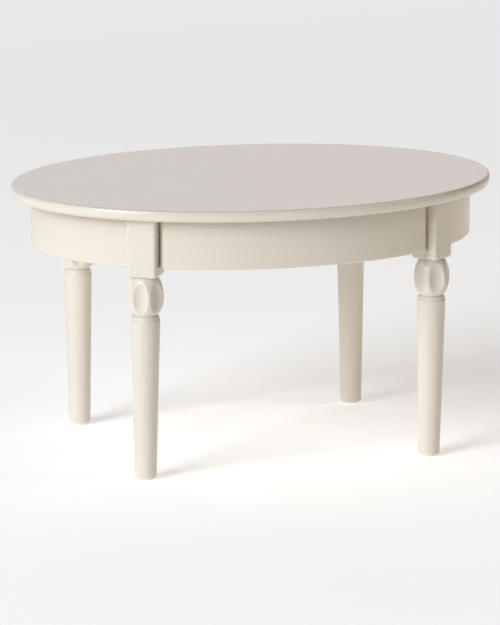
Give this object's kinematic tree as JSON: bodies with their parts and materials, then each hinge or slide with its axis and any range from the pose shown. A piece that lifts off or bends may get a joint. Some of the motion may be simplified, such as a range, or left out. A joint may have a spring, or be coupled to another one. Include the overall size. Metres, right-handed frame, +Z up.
{
  "type": "miniature dining table",
  "caption": "Oval miniature dining table: curved apron, square corner posts and turned tapered legs with a scooped bulb, painted cream.",
  "frame": {"origin": "on the floor under the middle of the top, at the height of the feet", "axes": "+X along the length of the top, +Y along its width towards the back, +Z up"},
  "size_m": [0.16, 0.12, 0.0884],
  "materials": {
    "top_paint": "satin cream paint with a greyish pink cast on the flat of the top",
    "frame_paint": "satin cream paint on the rails and posts",
    "leg_paint": "satin cream paint on the turned legs",
    "brace_wood": "bare sawn wood",
    "dowel_wood": "bare beech",
    "screw_zinc": "bright zinc plate"
  },
  "bodies": {
    "root": {"back_left_brace": "brace_wood", "back_left_end_rail_dowel": "dowel_wood", "back_left_leg": "leg_paint", "back_left_leg_dowel": "dowel_wood", "back_left_long_rail_dowel": "dowel_wood", "back_left_post": "frame_paint", "back_left_screw": "screw_zinc", "back_rail": "frame_paint", "back_right_brace": "brace_wood", "back_right_end_rail_dowel": "dowel_wood", "back_right_leg": "leg_paint", "back_right_leg_dowel": "dowel_wood", "back_right_long_rail_dowel": "dowel_wood", "back_right_post": "frame_paint", "back_right_screw": "screw_zinc", "front_left_brace": "brace_wood", "front_left_end_rail_dowel": "dowel_wood", "front_left_leg": "leg_paint", "front_left_leg_dowel": "dowel_wood", "front_left_long_rail_dowel": "dowel_wood", "front_left_post": "frame_paint", "front_left_screw": "screw_zinc", "front_rail": "frame_paint", "front_right_brace": "brace_wood", "front_right_end_rail_dowel": "dowel_wood", "front_right_leg": "leg_paint", "front_right_leg_dowel": "dowel_wood", "front_right_long_rail_dowel": "dowel_wood", "front_right_post": "frame_paint", "front_right_screw": "screw_zinc", "left_rail": "frame_paint", "right_rail": "frame_paint", "tabletop": "top_paint"}
  },
  "joints": []
}
